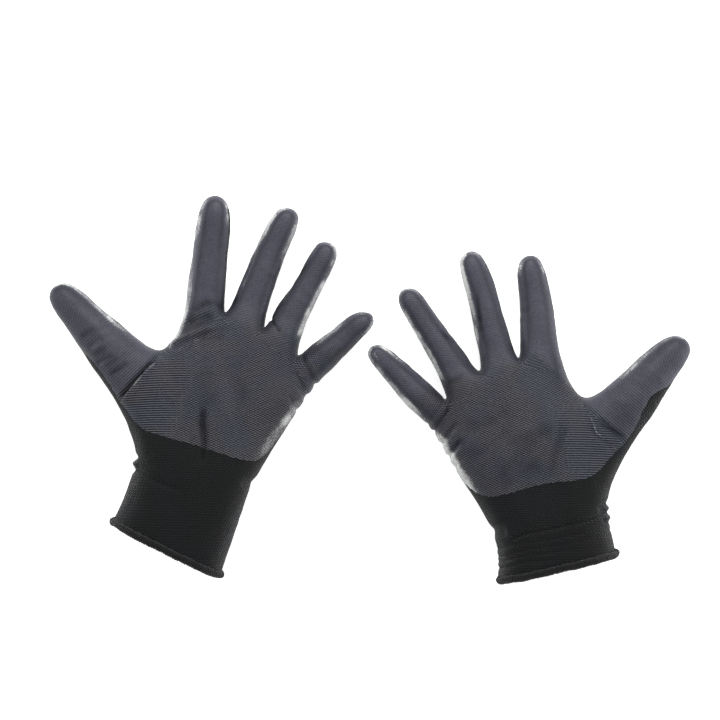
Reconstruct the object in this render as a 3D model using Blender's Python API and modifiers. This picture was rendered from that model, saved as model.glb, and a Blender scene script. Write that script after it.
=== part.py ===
"""A pair of knitted work gloves with dipped palms, lying on their backs with the fingers spread.

Each glove is drawn in its own frame, in millimetres: u runs from the thumb side to the little
finger's side, v from the wrist towards the fingertips and w up, out of the palm. The wrist's middle
is at u = v = 0 and the back of the hand is at w = 0. place() turns that frame into world metres.
"""

import math

import bmesh
import bpy
from mathutils import Matrix, Vector

MM = 0.001

# Driving dimensions, in millimetres and degrees
LINER_WALL = 1.2
COATING_WALL = 0.6
TOUCH_GAP = 0.3  # between two pieces that touch on the real glove
HEM_ROLL = 2.6  # radius of the overlocked roll at the cuff's end
TIP_WRAP = 9.0  # how far the dip reaches round the back of a fingertip
HINGE_DEPTH = 2.5  # from the palm side of a finger down to its hinge line
SMOOTHING = 1  # subdivision levels on the cage of a glove

# A closed ring of six cage points lies this much outside the smooth surface that it makes.
RING_OVERSIZE = 1.13

# Free travel of each hinge: (least, most) bend towards the palm, in degrees
BASE_TRAVEL = (-10, 75)
MIDDLE_TRAVEL = (0, 85)
THUMB_BASE_TRAVEL = (-10, 40)
THUMB_TIP_TRAVEL = (0, 60)
CUFF_TRAVEL = (-30, 30)

THUMB_ROLL = 30  # how far the thumb's pad faces round towards the fingers
DIP_LINE = 22  # the palm's faces nearer the wrist than this stay bare

# Colour and roughness
KNIT = ((0.012, 0.013, 0.014, 1), 0.9)
DIP = ((0.062, 0.062, 0.075, 1), 0.5)

# The body that each body hangs on
FINGERS = ("index", "middle", "ring", "little")
PARENTS = {"cuff": "palm"}
for digit in ("thumb",) + FINGERS:
    PARENTS[digit + "_base"] = "palm"
    PARENTS[digit + "_tip"] = digit + "_base"

# Palm rings from the wrist to the thumb's crotch. Each gives v at the five front points from the
# thumb side to the little finger's side, then the edges' u, then the height of the palm.
PALM_RINGS = {
    "wrist": ((0, 0, 0, 0, 0), (-40, 40), 41),
    "dip_edge": ((23, 17, 14, 16, 24), (-61, 45.5), 38),
    "crotch": ((62, 64, 65, 65, 62), (-45, 55), 30),
}
KNUCKLE_HEIGHT = 25

# A finger: its middle line's points at the base hinge, at the middle hinge and at the tip, the width
# at the same three places, and the angle that its hinge lines are turned by.
GLOVES = {
    "left": {
        "side": 1,
        "wrist": (-115.9, -52.4),
        "tilt": 18.3,
        "cuff_rings": (((-46, -57), (-42, 40)), ((-26, -31), (-40, 40))),
        "webs": ((-38, 91), (-13, 100), (14, 97), (39, 87), (57, 77)),
        "fingers": {
            "index": ((-29.5, 113), (-35, 140), (-41.5, 175), (27.5, 24.2, 21.5), -8),
            "middle": ((0.5, 117), (2, 148), (6.5, 182.5), (23.4, 21.2, 18.8), 2),
            "ring": ((27.5, 113), (33, 139), (38.3, 169.5), (22.8, 18.8, 17.4), 7),
            "little": ((55, 94.5), (66.5, 113.8), (77.5, 133.2), (21, 18.2, 16.6), 20),
        },
        "thumb": ((-72, 55), (-100, 71.5), (-124, 85.5), (37, 26.4, 21.8), -60),
    },
    "right": {
        "side": -1,
        "wrist": (118.3, -83.5),
        "tilt": -18.5,
        "cuff_rings": (((-33, -26), (-36, 46.5)), ((-17, -13), (-38, 42))),
        "webs": ((-39, 92), (-13, 101), (13, 101), (38.5, 90), (55, 80)),
        "fingers": {
            "index": ((-30.5, 114), (-36.5, 139), (-40.5, 167.5), (25.4, 21.4, 18.6), -8),
            "middle": ((-2, 118), (-4, 148), (-3.5, 182), (24, 20.8, 18.4), -1),
            "ring": ((29, 114), (36, 141), (44, 172.5), (23.2, 19.2, 17.4), 9),
            "little": ((54, 99), (65, 121), (76, 143.5), (21.4, 19.4, 16), 18),
        },
        "thumb": ((-72, 54), (-98.5, 71), (-119.8, 82.8), (37, 26.8, 22.2), -58),
    },
}
FINGER_RISE = (13, 17, 23)  # height of a finger's middle line at its hinges and its tip
THUMB_RISE = (19, 23, 26)
FINGER_FLATTEN = 0.88  # thickness over width


def place(glove, point):
    """World position, in metres, of a point of the glove's own frame."""
    u, v, w = point
    tilt = math.radians(glove["tilt"])
    across = glove["side"] * u
    x = glove["wrist"][0] + across * math.cos(tilt) + v * math.sin(tilt)
    y = glove["wrist"][1] - across * math.sin(tilt) + v * math.cos(tilt)
    return Vector((x, y, w)) * MM


class Hinge:
    """A hinge line of one glove: a point on it, its axis, and the way along the finger at it."""

    def __init__(self, point, angle, travel):
        turn = math.radians(angle)
        self.point = Vector(point)
        self.along = Vector((math.sin(turn), math.cos(turn), 0))
        self.axis = Vector((math.cos(turn), -math.sin(turn), 0))
        self.travel = travel

    def clearance(self, height, wall):
        """How far a piece keeps from the hinge's plane, so that it can bend both ways."""
        above = height - self.point.z
        bend = self.travel[1] if above > 0 else -self.travel[0]
        reach = abs(above) + wall + TOUCH_GAP
        return TOUCH_GAP / 2 + reach * math.tan(math.radians(bend) / 2)


def hinge_of(middle_line, width, angle, travel, rise):
    top = rise + width * FINGER_FLATTEN / 2
    return Hinge((*middle_line, top - HINGE_DEPTH), angle, travel)


def hinges_of(glove):
    """The glove's hinges by the name of the body that each one moves."""
    wrist_height = PALM_RINGS["wrist"][2]
    hinges = {"cuff": Hinge((0, 0, wrist_height / 2), 0, CUFF_TRAVEL)}
    for name in FINGERS:
        base, middle, _, widths, angle = glove["fingers"][name]
        hinges[name + "_base"] = hinge_of(base, widths[0], angle, BASE_TRAVEL, FINGER_RISE[0])
        hinges[name + "_tip"] = hinge_of(middle, widths[1], angle, MIDDLE_TRAVEL, FINGER_RISE[1])
    base, middle, _, widths, angle = glove["thumb"]
    hinges["thumb_base"] = hinge_of(base, widths[0], angle, THUMB_BASE_TRAVEL, THUMB_RISE[0])
    hinges["thumb_tip"] = hinge_of(middle, widths[1], angle, THUMB_TIP_TRAVEL, THUMB_RISE[1])
    return hinges


# Cage -------------------------------------------------------------------------------------------


def palm_ring(front_v, edges, height, lift=0):
    """Twelve points round the palm: five in front, the little finger's side, five behind, the thumb's."""
    left, right = edges
    across = [left + (right - left) * share for share in (0.08, 0.27, 0.5, 0.74, 0.93)]
    front_heights = [height * share for share in (0.86, 1.02, 0.97, 1.0, 0.84)]
    back_heights = [lift + height * share for share in (0.1, 0, 0, 0, 0.1)]
    front = list(zip(across, front_v, front_heights))
    back = list(zip(across, front_v, back_heights))
    side = (right, front_v[4], height * 0.45)
    thumb_side = (left, front_v[0], height * 0.45)
    return front + [side] + back[::-1] + [thumb_side]


def knuckle_ring(webs):
    """The palm's last ring: the fingers start from it, and its webs are shared between them."""
    front = [(u, v, KNUCKLE_HEIGHT) for u, v in webs]
    back = [(u, v, 0) for u, v in webs]
    for points, height in ((front, KNUCKLE_HEIGHT * 0.84), (back, KNUCKLE_HEIGHT * 0.1)):
        for end, inward in ((0, 3), (4, -3)):
            u, v, _ = points[end]
            points[end] = (u + inward, v, height)
    middle = [(u, v, KNUCKLE_HEIGHT / 2) for u, v in webs]
    return front, middle, back


def finger_ring(centre, width, angle, rise):
    """Six cage points round a finger, in the order that the palm's points feed into it."""
    turn = math.radians(angle)
    across = Vector((math.cos(turn), -math.sin(turn), 0)) * (width / 2 * RING_OVERSIZE)
    up = Vector((0, 0, width * FINGER_FLATTEN / 2 * RING_OVERSIZE))
    middle = Vector((*centre, rise))
    ring = []
    for degrees in (120, 60, 0, -60, -120, 180):
        round_by = math.radians(degrees)
        ring.append(middle + across * math.cos(round_by) + up * math.sin(round_by))
    return ring


class Cage:
    """The glove's coarse quad mesh. Each face knows which body it belongs to."""

    def __init__(self):
        self.mesh = bmesh.new()
        self.bodies = []

    def points(self, positions):
        return [self.mesh.verts.new(position) for position in positions]

    def face(self, corners, body):
        if body not in self.bodies:
            self.bodies.append(body)
        face = self.mesh.faces.new(corners)
        face.material_index = self.bodies.index(body)

    def band(self, first, second, body, skip=()):
        """Quads between two closed rings of the same count, leaving out the ones in skip."""
        count = len(first)
        for i in range(count):
            if i not in skip:
                j = (i + 1) % count
                self.face((first[i], first[j], second[j], second[i]), body)

    def tube(self, start, glove_part, rises, name):
        """A finger from its ring of palm points: two hinge rings, the tip's rings and its cap."""
        base, middle, tip, widths, angle = glove_part
        way = (Vector(tip) - Vector(middle)).normalized()
        end = Vector(tip) - way * widths[2] * 0.5
        near_tip = Vector(tip) - way * 1.5
        end_rise = rises[2] - 1
        rings = (
            (base, widths[0], rises[0], "palm"),
            (middle, widths[1], rises[1], name + "_base"),
            (end, widths[2] * 1.03, end_rise, name + "_tip"),
            (near_tip, widths[2] * 0.7, rises[2], name + "_tip"),
        )
        previous = start
        for centre, width, rise, body in rings:
            ring = self.points(finger_ring(centre, width, angle, rise))
            self.band(previous, ring, body)
            previous = ring
        cap = self.mesh.verts.new((*(Vector(tip) + way * 2.5), rises[2] + 0.5))
        for i in (0, 2, 4):
            corners = (previous[i], previous[i + 1], previous[(i + 2) % 6], cap)
            self.face(corners, name + "_tip")


def glove_cage(glove):
    cage = Cage()
    height = PALM_RINGS["wrist"][2]
    tube = []
    for ((first_v, last_v), edges), lift in zip(glove["cuff_rings"], (HEM_ROLL - LINER_WALL, 0)):
        slant = [first_v + (last_v - first_v) * k / 4 for k in range(5)]
        tube.append(cage.points(palm_ring(slant, edges, height, lift)))
    tube.append(cage.points(palm_ring(*PALM_RINGS["wrist"])))
    for lower, upper in zip(tube, tube[1:]):
        cage.band(lower, upper, "cuff")
    low = cage.points(palm_ring(*PALM_RINGS["dip_edge"]))
    high = cage.points(palm_ring(*PALM_RINGS["crotch"]))
    cage.band(tube[-1], low, "palm")
    cage.band(low, high, "palm", skip=(10, 11))

    front, middle, back = (cage.points(points) for points in knuckle_ring(glove["webs"]))
    cage.band(high, front + [middle[4]] + back[::-1] + [middle[0]], "palm")
    for k, name in enumerate(FINGERS):
        start = [front[k], front[k + 1], middle[k + 1], back[k + 1], back[k], middle[k]]
        cage.tube(start, glove["fingers"][name], FINGER_RISE, name)
    thumb_start = [low[0], high[0], high[11], high[10], low[10], low[11]]
    cage.tube(thumb_start, glove["thumb"], THUMB_RISE, "thumb")
    return cage


# Pieces -----------------------------------------------------------------------------------------


def principled(name, colour, roughness):
    material = bpy.data.materials.new(name)
    material.use_nodes = True
    shader = material.node_tree.nodes["Principled BSDF"]
    shader.inputs["Base Color"].default_value = colour
    shader.inputs["Roughness"].default_value = roughness
    material.diffuse_color = colour
    return material


def smoothed(cage):
    """The cage's smooth surface as a mesh, with its faces' bodies kept."""
    mesh = bpy.data.meshes.new("cage")
    cage.mesh.to_mesh(mesh)
    for _ in cage.bodies:
        mesh.materials.append(None)
    guide = bpy.data.objects.new("cage", mesh)
    bpy.context.scene.collection.objects.link(guide)
    rounding = guide.modifiers.new("Smooth", "SUBSURF")
    rounding.levels = rounding.render_levels = SMOOTHING
    bpy.context.view_layer.update()
    graph = bpy.context.evaluated_depsgraph_get()
    surface = bpy.data.meshes.new_from_object(guide.evaluated_get(graph))
    bpy.data.objects.remove(guide)
    bpy.data.meshes.remove(mesh)
    return surface


def trimmed_patch(surface, bodies, body, hinges, wall):
    """The surface's faces of one body, its ends slid back along it from the hinges that it meets."""
    piece = bmesh.new()
    piece.from_mesh(surface)
    ends = {}
    for vertex in piece.verts:
        around = {bodies[face.material_index] for face in vertex.link_faces}
        if body in around and len(around) == 2:
            (other,) = around - {body}
            moved = body if PARENTS.get(body) == other else other
            beyond = 1 if moved == body else -1
            ends[vertex] = hinges[moved], -beyond if moved == "cuff" else beyond
    number = bodies.index(body)
    others = [face for face in piece.faces if face.material_index != number]
    bmesh.ops.delete(piece, geom=others, context="FACES")
    for vertex, (hinge, beyond) in ends.items():
        inward = next(edge for edge in vertex.link_edges if not edge.is_boundary)
        step = inward.other_vert(vertex).co - vertex.co
        start = (vertex.co - hinge.point).dot(hinge.along)
        wanted = beyond * hinge.clearance(vertex.co.z, wall)
        vertex.co += step * (wanted - start) / step.dot(hinge.along)
    piece.normal_update()
    return piece


def dipped(face, body, glove):
    """Whether the dip covers this face: the palm's side, and each fingertip all round."""
    up = Vector((0, 0, 1))
    if body.startswith("thumb"):
        turn = math.radians(glove["thumb"][4])
        crotch_way = Vector((math.cos(turn), -math.sin(turn), 0))
        roll = math.radians(THUMB_ROLL)
        up = up * math.cos(roll) + crotch_way * math.sin(roll)
    centre = face.calc_center_median()
    if body.endswith("_tip"):
        name = body[: -len("_tip")]
        tip = glove["thumb"][2] if name == "thumb" else glove["fingers"][name][2]
        if math.dist(tip, centre[:2]) < TIP_WRAP:
            return True
    if body == "palm" and centre.y < DIP_LINE:
        return False
    return face.normal.dot(up) > 0


def finish_mesh(piece, name, glove):
    """The piece's mesh in world metres, with its faces turned out on the mirrored glove too."""
    for vertex in piece.verts:
        vertex.co = place(glove, vertex.co)
    if glove["side"] < 0:
        bmesh.ops.reverse_faces(piece, faces=piece.faces)
    mesh = bpy.data.meshes.new(name)
    piece.to_mesh(mesh)
    piece.free()
    return mesh


def shell(name, mesh, origin, thickness, outward, look):
    """A solid wall on the surface, growing out of it or into it, with its origin on its hinge."""
    mesh.transform(Matrix.Translation(-origin))
    mesh.materials.clear()
    mesh.materials.append(principled(name + "_finish", *look))
    mesh.shade_smooth()
    piece = bpy.data.objects.new(name, mesh)
    piece.location = origin
    wall = piece.modifiers.new("Wall", "SOLIDIFY")
    wall.thickness = thickness * MM
    wall.offset = 1 if outward else -1
    PARTS.objects.link(piece)
    return piece


def hem(name, surface, bodies, glove, origin):
    """The overlocked roll round the open end of the cuff, as one closed tube."""
    cuff = bmesh.new()
    cuff.from_mesh(surface)
    start = next(v for v in cuff.verts if v.is_boundary)
    loop = [start]
    edge = next(e for e in start.link_edges if e.is_boundary)
    while True:
        following = edge.other_vert(loop[-1])
        if following == start:
            break
        loop.append(following)
        edge = next(e for e in following.link_edges if e.is_boundary and e != edge)
    curve = bpy.data.curves.new(name, "CURVE")
    curve.dimensions = "3D"
    spline = curve.splines.new("POLY")
    spline.points.add(len(loop) - 1)
    for point, vertex in zip(spline.points, loop):
        u, v, w = vertex.co
        middle = place(glove, (u, v - HEM_ROLL - TOUCH_GAP, max(w, HEM_ROLL)))
        point.co = (*(middle - origin), 1)
    spline.use_cyclic_u = True
    curve.bevel_depth = HEM_ROLL * MM
    curve.bevel_resolution = 1
    curve.materials.append(principled(name + "_finish", *KNIT))
    cuff.free()
    piece = bpy.data.objects.new(name, curve)
    piece.location = origin
    PARTS.objects.link(piece)
    return piece


def make_glove(side, glove):
    cage = glove_cage(glove)
    surface = smoothed(cage)
    hinges = hinges_of(glove)
    liners = {}
    for body in cage.bodies:
        hinge = hinges.get(body)
        origin = place(glove, hinge.point if hinge else (0, 0, 0))
        where = f"{side}_{body}"
        knit = trimmed_patch(surface, cage.bodies, body, hinges, 0)
        knit_name = where if body == "cuff" else where + "_liner"
        liners[body] = shell(knit_name, finish_mesh(knit, knit_name, glove), origin, LINER_WALL, False, KNIT)
        if body == "cuff":
            hem(side + "_hem", surface, cage.bodies, glove, origin)
            continue
        dip = trimmed_patch(surface, cage.bodies, body, hinges, COATING_WALL + TOUCH_GAP)
        for vertex in dip.verts:
            vertex.co += vertex.normal * TOUCH_GAP
        bare = [face for face in dip.faces if not dipped(face, body, glove)]
        bmesh.ops.delete(dip, geom=bare, context="FACES")
        dip_name = where + "_coating"
        shell(dip_name, finish_mesh(dip, dip_name, glove), origin, COATING_WALL, True, DIP)
    cage.mesh.free()
    bpy.data.meshes.remove(surface)


def main():
    for old in list(bpy.data.objects):
        bpy.data.objects.remove(old)
    bpy.context.scene.collection.children.link(PARTS)
    for side, glove in GLOVES.items():
        make_glove(side, glove)


PARTS = bpy.data.collections.new("work_gloves")
main()
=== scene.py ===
"""The pair of dipped work gloves, dressed: knitted liners, dipped palms and overlocked hems.

Each glove is drawn in its own frame, in millimetres: u runs from the thumb's side to the little
finger's side, v from the wrist to the fingertips and w up, out of the palm. The wrist's middle is
at u = v = 0 and the back of the hand at w = 0. A coarse cage is smoothed, folds are pressed into
it, and each piece is a closed wall on its share of that surface.
"""

import math
from itertools import product

import bpy
import numpy as np
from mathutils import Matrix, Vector
from numpy.linalg import norm


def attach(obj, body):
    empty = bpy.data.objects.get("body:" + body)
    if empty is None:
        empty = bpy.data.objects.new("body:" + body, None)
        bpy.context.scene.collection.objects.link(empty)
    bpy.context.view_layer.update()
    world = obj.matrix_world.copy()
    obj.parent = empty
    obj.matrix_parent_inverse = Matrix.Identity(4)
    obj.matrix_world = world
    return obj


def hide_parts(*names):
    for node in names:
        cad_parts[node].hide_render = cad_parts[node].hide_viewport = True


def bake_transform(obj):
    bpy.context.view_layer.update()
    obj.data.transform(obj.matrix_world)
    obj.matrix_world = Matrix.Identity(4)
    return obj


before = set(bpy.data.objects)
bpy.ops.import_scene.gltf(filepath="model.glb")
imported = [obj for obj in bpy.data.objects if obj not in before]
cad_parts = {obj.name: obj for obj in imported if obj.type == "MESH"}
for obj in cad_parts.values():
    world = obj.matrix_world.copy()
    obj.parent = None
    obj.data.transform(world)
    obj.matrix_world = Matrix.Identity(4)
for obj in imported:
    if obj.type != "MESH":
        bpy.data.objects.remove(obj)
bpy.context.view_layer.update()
MM = 0.001

# Sizes of the gloves, in millimetres and degrees
LINER_WALL = 1.0
COATING_WALL = 0.4
COATING_EDGE = 0.12  # the coating's thickness at its rim
COATING_LIFT = 0.1  # from the liner to the coating's inner face
HEM_ROLL = 2.6
HEM_GAP = 0.3
HEM_WRAP = 1.7  # from one turn of the hem's thread to the next
RING_OVERSIZE = 1.13  # a cage ring over the smooth ring that it makes
FINGER_RISE = (13, 17, 23)
THUMB_RISE = (19, 23, 26)
FINGER_FLATTEN = 0.88
TIP_WRAP = 10.0  # how far the dip reaches round the back of a fingertip
THUMB_ROLL = 30  # how far the thumb's pad faces round towards the fingers
PALM_RINGS = {
    "wrist": ((0, 0, 0, 0, 0), (-40, 40), 41),
    "dip_edge": ((23, 17, 14, 16, 24), (-61, 45.5), 38),
    "crotch": ((62, 64, 65, 65, 62), (-45, 55), 30),
}
KNUCKLE_HEIGHT = 25
FINGERS = ("index", "middle", "ring", "little")
DIGITS = ("thumb",) + FINGERS

# Subdivision of the smooth surfaces that the pieces are cut from
LEVELS = {"fine": 5, "mid": 4, "coarse": 3}

# Pitch of the stitches: along a course, and from course to course
WALE = 3.1  # both legs of a stitch
COURSE = 1.6
RIB = 2.6
RIB_COURSE = 1.9

# A digit: its middle line at the base hinge, at the middle hinge and at the tip, the width at
# those places, and the turn of its hinge lines. A fold is a line of (u, v) points, a width, a
# depth (below zero for a ridge) and the height of the lip on its right. A line of painted light is
# a line, a width and how much paler the dip is drawn on it (below zero: darker): painted
# highlights on the lips of folds, pale rims (partly the dip's thin edge, partly a painted
# reflection) and painted shade in folds, in shaded bands and between the fingers. "sides" gives
# the thumb's side and the little finger's side of each digit: where the dip ends, as the height of
# the surface's normal there, and how pale the dip is beside that, partly from its thin edge and
# partly as a painted reflection of the bright surroundings. "rim_from" is how far up the palm the
# little finger's pale side starts.
LEFT = {
    "side": 1,
    "wrist": (-115.9, -52.4),
    "tilt": 18.3,
    "cuff_rings": (((-46, -57), (-42, 40)), ((-26, -31), (-40, 40)), ((-14, -15), (-40, 40))),
    "webs": ((-38, 91), (-13, 100), (14, 97), (39, 87), (57, 77)),
    "digits": {
        "thumb": ((-72, 55), (-100, 71.5), (-124, 85.5), (37, 26.4, 21.8), -60),
        "index": ((-29.5, 113), (-35, 140), (-41.5, 175), (27.5, 24.2, 21.5), -8),
        "middle": ((0.5, 117), (2, 148), (6.5, 182.5), (23.4, 21.2, 18.8), 2),
        "ring": ((27.5, 113), (33, 139), (38.3, 169.5), (22.8, 18.8, 17.4), 7),
        "little": ((55, 94.5), (66.5, 113.8), (77.5, 133.2), (21, 18.2, 16.6), 20),
    },
    "dip_edge": (
        (-122, 70), (-107, 58.5), (-94, 51.5), (-85, 47.5), (-79, 43), (-71, 37), (-65, 31.4),
        (-60, 27), (-54, 23.5), (-47.5, 19), (-40.5, 16), (-32.7, 14.7), (-21, 15.7), (-8, 16.5),
        (10, 16.4), (32, 16.5), (40, 21), (45, 35), (49.5, 51), (54, 64), (62, 80),
    ),
    "gusset": ((-47, 60), (-61, 27)),
    "rim_from": 66,
    # how pale the dip is beside each side: partly its thin edge, partly a painted reflection
    "sides": {
        "palm": ((-0.15, 0.7), (-0.15, 0.9)),
        "thumb": ((-0.15, 0.15), (-0.15, 0.95)),
        "index": ((-0.15, 0.9), (0.5, 0.3)),
        "middle": ((0.25, 0.9), (0.1, 0.7)),
        "ring": ((0.45, 0.3), (-0.15, 1.0)),
        "little": ((-0.15, 0.7), (-0.1, 0.4)),
    },
    # painted light: pale highlights on the lips of folds and pale rims (partly the dip's thin
    # edge), and painted shade in folds, in shaded bands and between the fingers
    "pale_rim_and_painted_light_lines": (
        ((53, 70), (47, 52), (42, 36), (36, 19), 3.2, 0.75), ((-31, 112), (-43, 172), 10.0, -0.2),
        ((-41, 68), (-39, 82), (-38, 100), 1.4, 0.8), ((-44.5, 62), (-49, 53), (-60, 27), 0.7, 0.6),
        ((-38, 68), (-27, 80), (-12, 92), 0.7, 0.4), ((45, 96), (54, 84), (60, 75), 1.2, 0.4),
        ((-46.5, 64), (-52, 53), (-62.5, 28), 1.5, -0.8),
        ((-8, 47), (-6, 37), (-0.5, 25), (3.5, 14), (5, 6), 3.0, -0.9),
        ((-31, 104), (-23, 108), (-14, 107), 2.2, -0.6),
        ((-30, 88), (-24, 95.5), (-18, 101), 2.4, -0.7),
        ((-24, 86), (-16, 91), (-8, 96), 1.6, -0.5), ((-20, 65), (-11, 55), (-3, 44), 5.0, -0.35),
        ((5, 68), (19, 52), 5.0, -0.35), ((33, 46), (44, 61), 5.0, -0.35),
        ((12, 113), (19, 108.5), (26, 103), 1.3, -0.8),
        ((-10, 106), (-7.5, 135), (-4, 160), 1.3, -0.8),
        ((13, 108), (10.5, 130), (10, 150), 1.6, -0.6), ((-14.5, 103), (-22, 136), 1.5, -0.6),
        ((15, 106), (21.5, 122.5), (30, 158), 1.3, -0.8),
        ((43, 95.5), (52, 85), (58, 75), 1.6, -0.6), ((-98, 60), (-89, 68), 2.2, -0.45),
        ((-87, 51), (-78, 59), 2.2, -0.5), ((-77.5, 46.5), (-68.5, 55.5), 1.8, -0.5),
        ((-72, 42), (-63, 50.5), 1.8, -0.5),
    ),
    "palm_folds": (
        ((-46, 62), (-50.5, 53), (-61, 27), 1.2, 2.2, 0.9),
        ((-43, 71), (-30, 83), (-15, 96), 1.9, -1.7, 0), ((-26, 80), (-8, 88), 3.4, 1.6, 0),
        ((-36, 88), (-20, 100), 2.8, 1.9, 0), ((-34, 97), (-24, 108), 2.6, 1.2, 0),
        ((-7, 43), (-4.5, 32), (1.5, 19), (5, 5), 2.2, 2.8, 0),
        ((-10, 42), (-8.5, 30), (-4, 17), 2.0, -0.9, 0), ((-10, 66), (-1, 38), 4.5, 1.5, 0),
        ((13, 64), (17, 38), 4.0, 0.9, 0), ((43, 95.5), (52, 85), (62, 72), 1.5, 1.2, 0.3),
        ((41, 84), (58, 66), 1.5, 1.1, 0.3), ((44, 77), (58, 63), 1.3, 1.0, 0),
        ((43, 67), (57, 53), 1.3, 1.1, 0), ((12, 113), (19, 108.5), (26, 103), 1.1, 1.4, 0),
        ((-82, 46), (-72, 55), 2.0, 1.3, 0), ((-71, 42), (-62, 53), 2.0, 1.3, 0),
        ((-90, 54), (-83, 64), 2.2, 0.8, 0), ((-6, 157), (-8, 110), 1.3, 1.0, 0),
        ((26, 152), (18, 106), 1.3, 1.0, 0),
    ),
    "cuff_folds": (
        ((-44, -4), (-36, -4), 2.0, 1.7, 0), ((-46, -8.6), (-34, -8), 2.1, -1.6, 0),
        ((-44, -13), (-34, -12), (-18, -14), (0, -14), 2.0, 1.7, 0),
        ((50, 6), (32, 2), 3.5, 1.4, 0),
    ),
}
RIGHT = {
    "side": -1,
    "wrist": (118.3, -83.5),
    "tilt": -18.5,
    "cuff_rings": (((-33, -26), (-36, 46.5)), ((-17, -13), (-38, 42))),
    "webs": ((-39, 92), (-13, 101), (13, 101), (38.5, 90), (55, 80)),
    "digits": {
        "thumb": ((-72, 54), (-98.5, 71), (-119.8, 82.8), (37, 26.8, 22.2), -58),
        "index": ((-30.5, 114), (-36.5, 139), (-40.5, 167.5), (25.4, 21.4, 18.6), -8),
        "middle": ((-2, 118), (-4, 148), (-3.5, 182), (24, 20.8, 18.4), -1),
        "ring": ((29, 114), (36, 141), (44, 172.5), (23.2, 19.2, 17.4), 9),
        "little": ((54, 99), (65, 121), (76, 143.5), (21.4, 19.4, 16), 18),
    },
    "dip_edge": (
        (-128, 70), (-116, 65.5), (-107, 62), (-100, 58.5), (-92, 57), (-85.6, 55), (-78.5, 48),
        (-73, 41), (-67, 35.5), (-62, 32.2), (-55.5, 28.5), (-48, 24.7), (-38, 19.5), (-32.5, 17.6),
        (-22, 18.7), (-6, 23), (16, 24.4), (33, 25), (42, 31), (47, 40), (58, 60),
    ),
    "gusset": ((-46, 58), (-61, 29)),
    "rim_from": 24,
    # how pale the dip is beside each side: partly its thin edge, partly a painted reflection
    "sides": {
        "palm": ((-0.15, 0.5), (-0.15, 0.85)),
        "thumb": ((-0.15, 0.2), (-0.15, 0.8)),
        "index": ((0.45, 0.5), (-0.1, 0.6)),
        "middle": ((0.45, 0.3), (-0.15, 1.0)),
        "ring": ((-0.1, 0.35), (-0.15, 1.0)),
        "little": ((-0.1, 0.3), (-0.15, 1.0)),
    },
    # painted light: pale highlights on the lips of folds and pale rims (partly the dip's thin
    # edge), and painted shade in folds, in shaded bands and between the fingers
    "pale_rim_and_painted_light_lines": (
        ((58, 82), (53, 66), (49.5, 50), (45, 36), (38, 26), 2.4, 0.75),
        ((-50, 54), (-65, 33), 0.7, 0.55), ((-45, 60), (-46, 43.5), (-57, 25), 0.65, 0.55),
        ((-68, 58), (-58, 34), 8.0, -0.25), ((42, 88.5), (56, 77), 0.8, 0.6),
        ((38, 76), (54, 65), 1.0, 0.4), ((40, 64), (53, 56), 1.2, 0.6),
        ((-49.5, 49.5), (-61.5, 34), 1.5, -0.8),
        ((-29, 58), (-20, 45), (-12, 35), (-6, 24), 3.4, -0.45),
        ((-33, 57), (-25, 45), (-17, 35), (-11, 24), 1.2, 0.3), ((71, 144), (58, 124), 1.6, 0.7),
        ((77, 141), (73.5, 127), 1.6, 0.55), ((40, 33), (-8, 33), 9.0, -0.3),
        ((14, 54), (-5, 57), (-22, 58), 3.5, -0.5), ((26, 38), (8.5, 37), (-6, 36), 6.0, -0.35),
        ((35, 76), (13.5, 71), 3.5, -0.35), ((38, 62), (28, 44), 6.0, -0.35),
        ((-2, 158), (8, 117), 1.5, -0.7), ((-13.5, 140), (-12, 110), 1.5, -0.7),
        ((-28, 142), (-17, 112), 1.5, -0.6), ((30, 140), (15, 110), 1.5, -0.6),
        ((56, 122), (42, 101), 1.5, -0.5), ((37, 105), (23, 107), 2.0, -0.5),
        ((39, 91.5), (52, 80), (58, 74), 1.6, -0.8), ((38, 69), (50, 60), 2.2, -0.8),
        ((38, 80), (50, 71), 1.4, -0.5),
    ),
    "palm_folds": (
        ((-50, 52), (-63, 33), 1.1, 1.8, -1.1), ((-43, 52), (-45, 43), (-55, 27), 1.0, 1.3, -1.0),
        ((36, 68), (20, 72), (2, 75), 3.2, 1.3, 0), ((42, 52), (25, 56), (6, 63), 2.8, 1.3, 0),
        ((26, 36), (4, 45), (-20, 55), 3.6, 2.0, 0), ((22, 47), (-8, 60), 3.0, -0.8, 0),
        ((-29, 57), (-20, 45), (-12, 35), (-7, 25), 3.2, 1.6, 0), ((39, 98), (60, 81), 1.2, 0.7, 0),
        ((38, 92), (62, 71), 1.4, 1.5, 0.4), ((38, 80), (60, 62), 1.5, 1.0, 0.3),
        ((39, 68), (58, 53), 1.6, 1.5, 0.4), ((40, 58), (55, 46), 1.5, 0.8, 0),
        ((-15, 158), (-12, 112), 1.2, 0.7, 0),
    ),
    "cuff_folds": (
        ((-42, -3), (-30, -4), 1.8, 1.2, 0), ((48, 5), (30, 1), 3.5, 1.8, 0),
        ((-42, -6), (-34, -6), 1.6, -1.2, 0),
        ((-42, -8.8), (-20, -8), (-6, -6.5), (21, -3.6), (42, -6), 1.3, 2.0, 0),
        ((-42, -12.4), (-32, -12), 1.6, -1.4, 0),
        ((-42, -16), (-10, -14), (12, -11), (30, -7.5), (46, -9.5), 1.3, 1.3, 0),
        ((-44, -21), (0, -18), (22, -13.5), (48, -14), 1.3, 1.2, 0),
        ((-12, -23), (10, -20), (30, -16.5), (48, -17.5), 1.2, 1.1, 0),
        ((4, -26), (28, -20.5), (50, -21.5), 1.2, 1.0, 0),
    ),
}
GLOVES = {"left": LEFT, "right": RIGHT}


def smoothstep(values, low, high):
    share = np.clip((values - low) / (high - low), 0, 1)
    return share * share * (3 - 2 * share)


def place(glove, points):
    """World metres of points of the glove's own frame."""
    return turned(glove, points) * MM + np.array([*glove["wrist"], 0]) * MM


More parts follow.
